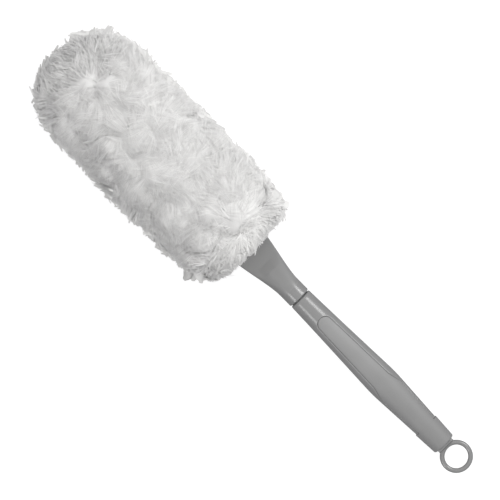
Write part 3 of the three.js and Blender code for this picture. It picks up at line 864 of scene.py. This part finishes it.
def clump_middles(spacing, rng):
    """Middles of clumps over the pile's outside, no two closer than the spacing."""
    along, angle = spread(CLUMP_CANDIDATES, rng)
    points = envelope(along, angle)
    kept = []
    for i in rng.permutation(CLUMP_CANDIDATES):
        if not kept or np.min(np.sum((points[kept] - points[i]) ** 2, 1)) > spacing**2:
            kept.append(i)
    return points[kept]


def clump_distance(points, middles):
    """For each point, its nearest clump and a softened distance to it."""
    shape = points.shape[:-1]
    flat = points.reshape(-1, 3)
    found, soft = np.empty(len(flat), int), np.empty(len(flat))
    ease = 0.06 * np.sqrt(np.median(np.sort(np.sum((middles[:, None] - middles) ** 2, -1), 1)[:, 1]))
    for start in range(0, len(flat), 6000):
        part = slice(start, start + 6000)
        distance = np.sqrt(np.sum((flat[part][:, None] - middles) ** 2, -1))
        found[part] = np.argmin(distance, 1)
        least = distance.min(1, keepdims=True)
        soft[part] = least[:, 0] - ease * np.log(np.sum(np.exp((least - distance) / ease), 1))
    return found.reshape(shape), np.maximum(soft, 0).reshape(shape)


def with_neighbours(grid):
    """Twice each value of a grid round the pile, plus its four neighbours."""
    ahead = np.concatenate([grid[1:], grid[-1:]])
    behind = np.concatenate([grid[:1], grid[:-1]])
    return 2 * grid + ahead + behind + np.roll(grid, 1, 1) + np.roll(grid, -1, 1)


def smooth_round(values, passes=14):
    for _ in range(passes):
        values = with_neighbours(values) / 6
    return values


def grid_normals(grid, passes):
    """Normals of a grid over the pile, smoothed over neighbours."""
    about = np.roll(grid, -1, 1) - np.roll(grid, 1, 1)
    normals = unit(np.cross(about, np.gradient(grid, axis=0)))
    for _ in range(passes):
        normals = unit(with_neighbours(normals))
    return normals


def on_lip(points, normal):
    """How far a place on the pile is on the lip round its mouth."""
    return smoothstep((normal[..., 0] - 0.3) / 0.4) * smoothstep((points[..., 0] + MOUTH_AT + 0.012) / 0.008)


def pile_surface(rng):
    """The pile's lumpy outside as a grid along and round it, with its normals and clump middles."""
    along = np.linspace(GRID_START, len(PROFILE) - 1, GRID_ALONG)[:, None]
    angle = full_turn(GRID_AROUND)
    points, normal = envelope(along, angle), envelope_normal(along, angle)
    height = np.zeros(points.shape[:2])
    layers = []
    for spacing, dome in CLUMPS:
        middles = clump_middles(spacing, rng)
        own, distance = clump_distance(points, middles)
        lift = rng.uniform(*CLUMP_LIFT, len(middles)) * dome
        bulge = rng.uniform(*CLUMP_BULGE, len(middles)) * dome
        rounding = np.maximum(1 - (distance / (0.62 * spacing)) ** 2, -0.6)
        height = height + smooth_round(bulge[own] * rounding + lift[own])
        layers.append(middles)
    facing_up = mix(SIDE_LUMPS, 1, smoothstep(normal[..., 2] / 0.7))
    depth = SURFACE_DEPTH * (1 - 0.75 * on_lip(points, normal))
    lumpy = kept_clear(points + normal * (height * facing_up - depth)[..., None])
    return lumpy, unit(0.6 * grid_normals(lumpy, 4) + 0.4 * normal), layers[0]


def on_grid(grid, along, angle):
    """Values between the points of a grid over the pile."""
    share = (along - GRID_START) / (len(PROFILE) - 1 - GRID_START)
    row = np.clip(share * (GRID_ALONG - 1), 0, GRID_ALONG - 1.001)
    column = angle / (2 * math.pi) * GRID_AROUND
    r, c = np.floor(row).astype(int), np.floor(column).astype(int)
    u, v = (row - r)[:, None], (column - c)[:, None]
    c, d = c % GRID_AROUND, (c + 1) % GRID_AROUND
    return mix(mix(grid[r, c], grid[r, d], v), mix(grid[r + 1, c], grid[r + 1, d], v), u)


def along_surface(vectors, normals):
    return vectors - np.sum(vectors * normals, -1, keepdims=True) * normals


def lie_of_pile(points, normals, own, middles, swirl):
    """Which way strips lie: across the head, down its sides, out at its ends, and each clump its own way."""
    x, y = points[:, 0], points[:, 1]
    zero = np.zeros_like(x)
    across = np.stack([zero, np.tanh(y / 0.02), zero], -1) * LIE_ACROSS
    down = (0, 0, -LIE_DOWN)
    to_tip = LIE_TO_TIP * smoothstep((BACKING_TIP_AT + 0.018 - x) / 0.035)
    to_mouth = LIE_TO_MOUTH * smoothstep((x + MOUTH_AT + 0.03) / 0.03)
    ends = np.stack([to_mouth - to_tip, zero, zero], -1)
    outwards = (points - middles[own]) / CLUMPS[0][0] * LIE_OUTWARDS
    return unit(along_surface(across + down + ends + outwards + LIE_SWIRL * swirl[own], normals))


def stepped(along, angle, vector):
    """Moves places on the pile by vectors that lie along it."""
    da, dk = 2e-3, 0.3
    about = (envelope(along, angle + da) - envelope(along, angle - da)) / (2 * da)
    length = (envelope(along + dk, angle) - envelope(along - dk, angle)) / (2 * dk)
    aa, kk, ak = np.sum(about * about, -1), np.sum(length * length, -1), np.sum(about * length, -1)
    va, vk = np.sum(about * vector, -1), np.sum(length * vector, -1)
    det = np.maximum(aa * kk - ak * ak, 1e-12)
    along = along + np.clip((aa * vk - ak * va) / det, -12, 12)
    angle = angle + np.clip((kk * va - ak * vk) / det, -0.6, 0.6)
    return np.clip(along, GRID_START, len(PROFILE) - 1), angle


def pile_strips(surface, normals, middles, rng):
    """All strips: their ring points, shading normals and tones, and which of them may cast shadows."""
    count = STRIPS
    along, angle = spread(count, rng)
    points, normal = on_grid(surface, along, angle), unit(on_grid(normals, along, angle))
    own, _ = clump_distance(points, middles)
    swirl = unit(rng.normal(0, 1, (len(middles), 3)))
    lie = lie_of_pile(points, normal, own, middles, swirl)
    locks = clump_middles(LOCK_SPACING, rng)
    lock, _ = clump_distance(points, locks)
    lock_turn = rng.normal(0, LOCK_TURN, (len(locks), 3))
    lie = unit(along_surface(lie + lock_turn[lock] + rng.normal(0, STRIP_TURN, (count, 3)), normal))
    lock_off = along_surface(along_surface(points - locks[lock], normal), lie)
    lock_off *= LOCK_GATHER * rng.uniform(0.5, 1.2, (count, 1))
    lock_rise = np.maximum(rng.normal(*LOCK_RISE, len(locks)), -0.0004)[lock]
    lock_tone = rng.normal(0, LOCK_TONE, len(locks))[lock]
    from_mouth, from_tip = -MOUTH_AT - points[:, 0], points[:, 0] - BACKING_TIP_AT
    ends = smoothstep((0.01 - from_tip) / 0.03) + smoothstep((0.02 - from_mouth) / 0.015)
    edge = smoothstep((0.5 - normal[:, 2]) / 0.3) * smoothstep((normal[:, 2] + 0.5) / 0.3)
    flake = rng.random(count) < FLAKE_SHARE * edge
    corner = smoothstep((0.034 - from_mouth) / 0.008) * smoothstep((from_mouth - 0.012) / 0.004)
    corner *= edge * smoothstep((np.abs(points[:, 1]) - 0.03) / 0.012)
    tab = rng.random(count) < CORNER_TAB_SHARE * corner * smoothstep(normal[:, 2] / 0.15 + 1)
    flake = flake | tab
    length = rng.uniform(*STRIP_LENGTH, count)
    rise = np.where(flake, rng.uniform(*FLAKE_RISE, count), rng.gamma(2.0, 0.0005, count) + 0.0002)
    rise = rise * (1 + 0.6 * ends) + lock_rise
    lip = on_lip(points, normal)
    rise = mix(rise, rng.uniform(*LIP_RISE, count), lip)
    length = mix(length, rng.uniform(*LIP_LENGTH, count), lip)
    length = np.where(tab, rng.uniform(*CORNER_TAB_LENGTH, count), length)
    stiff = np.where(tab, 0.8, np.where(flake, 0.5 * np.minimum(ends, 1), 0))[:, None]
    tab_way = unit(lie + normal * (0.6, 0.6, 0.1) + (0.9, 0, 0))
    way = np.where(tab[:, None], tab_way, lie + 0.25 * normal)
    path, shades = [], []
    for share, step in zip(RING_SHARES, np.diff(RING_SHARES, prepend=0)):
        along, angle = stepped(along, angle, lie * (length * step)[:, None])
        here, normal = on_grid(surface, along, angle), unit(on_grid(normals, along, angle))
        lie = unit(along_surface(lie + (0, 0, -0.12), normal))
        lifted = mix(-0.0007, rise, share**1.5) + 0.0006 * math.sin(math.pi * share)
        laid = here + normal * lifted[:, None] - lock_off * share**1.5
        path.append(mix(laid, points + way * (length * share)[:, None], stiff))
        rim = (RIM_LIGHT + END_LIGHT * np.minimum(ends, 1)[:, None]) * (1 - smoothstep(normal[:, 2:] / 0.7))
        shades.append(unit(normal + rim * (0, 0, 1)))
    path = kept_clear(np.stack(path, 1))
    may_cast = ~flake & (normal[:, 2] > CASTING_TILT)
    at_tip = COARSE_AT_TIP * smoothstep((0.012 - from_tip) / 0.03)
    coarse = np.maximum(smoothstep((0.04 - from_mouth) / 0.02), at_tip)[:, None]
    return *strip_rings(path, np.stack(shades, 1), flake, tab, lock_tone, coarse, rng), may_cast


def kept_clear(path):
    """Keeps the pile off the paddle's way out, and above the floor."""
    half_width, half_depth = BACKING_HALF_WIDTH + 0.0008, BACKING_HALF_DEPTH + 0.0006
    out = ((path[..., 1] / half_width) ** 4 + (path[..., 2] / half_depth) ** 4) ** 0.25
    grow = np.where((out < 1) & (path[..., 0] > BACKING_TIP_AT), 1 / np.maximum(out, 0.05), 1)
    path[..., 1:] *= grow[..., None]
    path[..., 2] = np.maximum(path[..., 2], floor_at(path[..., 0]) + PILE_FLOOR_GAP)
    return path


def strip_rings(path, normal, flake, tab, lock_tone, coarse, rng):
    """Three-sided rings along each strip, with shading normals eased towards those of the pile."""
    count = len(path)
    tangent = unit(np.gradient(path, axis=1))
    facing = np.where(flake[:, None, None], unit(normal + (0, 0, 1.5)), normal)
    side = unit(np.cross(tangent, facing))
    twist = rng.normal(0, STRIP_TWIST, (count, 1, 1))
    twist = twist + rng.normal(0, STRIP_TWIST, (count, 1, 1)) * RING_SHARES[:, None]
    across = unit(side * np.cos(twist) + np.cross(tangent, side) * np.sin(twist))
    ridge = np.cross(tangent, across)
    flip = np.sign(np.sum(ridge * facing, -1, keepdims=True).mean(1, keepdims=True))
    across, ridge = across * flip, ridge * flip
    wide = rng.uniform(*FLAKE_WIDTH, (count, 1)) * np.where(tab, CORNER_TAB_WIDENING, 1)[:, None]
    fine = np.clip(rng.lognormal(*STRIP_LOG_WIDTH, (count, 1)), *STRIP_WIDTH_LIMITS) * (1 + coarse)
    flake = flake[:, None]
    half = (np.where(flake, wide * FLAKE_TAPER, fine * STRIP_TAPER) / 2)[..., None]
    thick = np.minimum(half * 0.3, STRIP_THICKNESS)
    rings = np.stack([path - across * half, path + across * half, path + ridge * thick], 2)
    rings[..., 2] = np.maximum(rings[..., 2], floor_at(rings[..., 0]) + PILE_FLOOR_GAP / 2)
    own = np.stack([ridge - 0.6 * across, ridge + 0.6 * across, ridge], 2)
    shading = unit(normal[:, :, None] + OWN_SHADE * (1 + COARSE_SHADE * coarse[..., None, None]) * unit(own))
    below = 0.85 * (1 - smoothstep((normal[..., 2:] - 0.1) / 0.6))[:, :, None]
    shading = np.where(flake[..., None, None], unit(shading + (0, 0, 1.2)), shading)
    shading[:, :, :2] = unit(mix(shading[:, :, :2], np.array([0, 0, 1.0]), below))
    tone = rng.normal(0.5, STRIP_TONE, (count, 1)) + lock_tone[:, None]
    # painted shade: each strip is darker towards its root
    tone = clamp01(mix(0.5, tone, 1 + COARSE_TONE * coarse) + 0.15 * RING_SHARES)
    return rings, shading, np.repeat(tone[..., None], 3, -1)


def strips_mesh(name, rings, shading, tone, casting):
    """Closed strips. Those that cast shadows keep true normals underneath, so the rim doesn't turn black."""
    count, steps, sides = rings.shape[:3]
    one = grid_faces(steps, sides, closed=True)
    starts = (np.arange(count) * steps * sides)[:, None, None]
    quads = (one + starts).reshape(-1, 4)
    last = (steps - 1) * sides
    ends = np.array([[0, 2, 1], [last, last + 1, last + 2]])
    caps = (ends + starts).reshape(-1, 3)
    points, shading = rings.reshape(-1, 3), shading.reshape(-1, 3)
    mesh = mesh_of(name, points, quads, caps)
    corner = shading[quads]
    if casting:
        a, b, c, d = (points[quads[::sides, k]] for k in range(4))
        corner[::sides] = unit(np.cross(c - a, d - b))[:, None]
    corner = np.concatenate([corner.reshape(-1, 3), shading[caps].reshape(-1, 3)])
    attribute(mesh, "custom_normal", "FLOAT_VECTOR", "CORNER", "vector", corner)
    attribute(mesh, "strip_tone_and_shade", "FLOAT", "POINT", "value", tone)
    return mesh


def pile_roots_mesh(surface):
    """The dense mass of fibre under the strips, hollow round the pocket."""
    surface = surface[:, ::ROOTS_STEP]
    room = BACKING_HALF_WIDTH + 1.5 * CLEARANCE, BACKING_HALF_DEPTH + 1.5 * CLEARANCE
    places = np.linspace(-MOUTH_AT - ELASTIC_WIDTH, BACKING_TIP_AT - 0.001, 24)
    inner = [pocket_ring(x, *room, surface.shape[1]) for x in places]
    mesh = loft("pile_roots_body", np.concatenate([surface, inner]))
    attribute(mesh, "strip_tone_and_shade", "FLOAT", "POINT", "value", np.full(len(mesh.vertices), 0.5))
    return mesh


def pile_pieces(material):
    """One piece for each sewn row and one for the tip's tuft, over the mass of their roots."""
    rng = np.random.default_rng(STRIP_SEED)
    surface, normals, middles = pile_surface(rng)
    rings, shading, tone, may_cast = pile_strips(surface, normals, middles, rng)
    root = rings[:, 0, 0]
    row = np.clip(np.floor((PILE_MOUTH_AT - root[:, 0]) / PILE_ROW_PITCH).astype(int), 0, PILE_ROWS)
    at_tip = smoothstep((BACKING_TIP_AT + 0.03 - root[:, 0]) / 0.04)
    shaded = np.maximum(smoothstep((-root[:, 1] - 0.012) / 0.03), at_tip)
    casts = (rng.random(len(row)) < mix(CASTING_SHARE, 1, 0.75 * shaded)) & may_cast
    for index in range(PILE_ROWS + 1):
        node = "tip_tuft" if index == PILE_ROWS else f"pile_row_{index + 1:02d}"
        for kind, casting in (("fringe", True), ("down", False)):
            own = (row == index) & (casts == casting)
            mesh = strips_mesh(f"{node}_{kind}_strips", rings[own], shading[own], tone[own], casting)
            replaced = [node] if casting else []
            strips = piece(f"{node}_{kind}", mesh, material, "sleeve", "microfibre_pile", *replaced)
            strips.visible_shadow = casting
    piece("pile_roots", pile_roots_mesh(surface), material, "sleeve", "microfibre_pile")


# Studio


def soft_light(name, place, size_x, size_y, radiance):
    """A softbox turned to the duster and not seen by the camera."""
    data = bpy.data.lights.new(name, "AREA")
    data.shape = "RECTANGLE"
    data.size, data.size_y = size_x, size_y
    data.energy = radiance * math.pi * size_x * size_y
    obj = new_object(name, data)
    obj.location = place
    obj.rotation_euler = (Vector(LIGHT_TARGET) - Vector(place)).to_track_quat("-Z", "Y").to_euler()
    obj.visible_camera = False
    return obj


def sky():
    """An even studio: brightest overhead, dim near the floor."""
    world = bpy.data.worlds.new("studio")
    world.use_nodes = True
    tree = world.node_tree
    place = added(tree, "TexCoord", {}).outputs["Generated"]
    height = added(tree, "SeparateXYZ", {"Vector": place}).outputs["Z"]
    share = added(tree, "MapRange", {"Value": height, "From Min": -1}).outputs["Result"]
    tone = ramp(tree, share, (0.3, SKY_BELOW), (0.5, SKY_LEVEL), (1.0, SKY_ABOVE))
    set_inputs(tree, tree.nodes["Background"], {"Color": tone})
    bpy.context.scene.world = world


def paper(name, colour, glow):
    """Plain matte paper that may glow. Its glow isn't sampled as a lamp."""
    material, tree, shader = material_nodes(name)
    look = {"Base Color": (*colour, 1), "Roughness": 1.0, "Specular IOR Level": 0.0}
    set_inputs(tree, shader, {**look, "Emission Color": (1, 1, 1, 1), "Emission Strength": glow})
    material.cycles.emission_sampling = "NONE"
    return material


def stage_piece(mesh, material, *unseen_by):
    """A piece of the setting, hidden from some kinds of ray."""
    obj = new_object(mesh.name, mesh)
    mesh.materials.append(material)
    for ray in unseen_by:
        setattr(obj, "visible_" + ray, False)


def stage():
    """A floor and far wall that only the camera sees, and a floor that only sends light to the duster."""
    corners = FLOOR_REACH * np.array([[-1, -1, 0], [1, -1, 0], [1, 1, 0], [-1, 1, 0]])
    face = np.array([[0, 1, 2, 3]])
    wall = [section(0, WALL_RADIUS, WALL_RADIUS, full_turn(64))[:, [1, 2, 0]] + (0, 0, z) for z in WALL_ENDS]
    pale = paper("floor_paper", FLOOR_TONE, FLOOR_GLOW)
    for mesh in (mesh_of("floor", corners, face), loft("backdrop", wall)):
        stage_piece(mesh, pale, "diffuse", "glossy", "shadow")
    lowered = mesh_of("floor_bounce", corners - (0, 0, FLOOR_BOUNCE_DROP), face)
    stage_piece(lowered, paper("floor_bounce_paper", FLOOR_BOUNCE, 0.0), "camera", "glossy")


def studio():
    sky()
    bpy.context.scene.view_settings.view_transform = "Standard"
    soft_light("key", (0.34, 1.15, 1.0), 0.4, 0.75, KEY_RADIANCE)
    soft_light("fill", (0.34, -1.15, 1.0), 0.4, 0.55, FILL_RADIANCE)
    soft_light("head", (-0.3, 0.58, 0.75), 0.6, 0.6, HEAD_RADIANCE).visible_glossy = False
    stage()


def camera():
    data = bpy.data.cameras.new("camera")
    data.lens = LENS
    distance = VIEW_WIDTH * LENS / data.sensor_width
    data.clip_end = 4 * distance
    obj = new_object("camera", data)
    obj.location = (*VIEW_MIDDLE, VIEW_HEIGHT + distance)
    obj.rotation_euler = (0, 0, VIEW_TURN)
    bpy.context.scene.camera = obj


def build():
    gloss = moulded_plastic("handle_gloss", 0.25, 0.22, GLOSS_GRAIN)
    # Painted light and shade on the grip: lighter towards its front and darker towards the cuff, where the
    # light falls off.
    matte = moulded_plastic("grip_soft", 0.269, 0.54, GRIP_GRAIN, painted_shading_drift=(0.05, 0.19, 0.3, -0.5))
    satin = moulded_plastic("ring_plastic", 0.225, 0.25, RING_GRAIN, specular=1.0)
    # Painted shade on the neck: darker towards the paddle, where the fluffy head shades it. Its gloss fades
    # to a matte blade.
    neck_painted_shade, neck_gloss = (-0.02, -0.05, 0, -0.52), (-0.01, -0.021, 0, 0.45)
    neck = moulded_plastic("neck_plastic", 0.246, 0.17, GLOSS_GRAIN, neck_painted_shade, neck_gloss)
    piece("handle_gloss_shell", handle_shell_mesh(), gloss, "handle", "handle_gloss", "handle_shell")
    piece("handle_soft_grip", soft_grip_mesh(), matte, "handle", "grip_soft", "soft_grip")
    piece("handle_hang_ring", hang_ring_mesh(), satin, "handle", "ring_plastic", "hang_ring")
    piece("neck_and_paddle", head_frame_mesh(), neck, "head_frame", "neck_plastic", "head_frame")
    cloth = woven("backing_weave", (0.78, 0.78, 0.79), 1100, 0.0002)
    band = woven("elastic_weave", (0.72, 0.72, 0.73), 900, 0.00025)
    piece("pocket_backing", sleeve_backing_mesh(), cloth, "sleeve", "backing_weave", "sleeve_backing")
    piece("pocket_elastic", mouth_elastic_mesh(), band, "sleeve", "elastic_weave", "mouth_elastic")
    pile_pieces(microfibre("microfibre_pile"))


camera()
studio()
build()
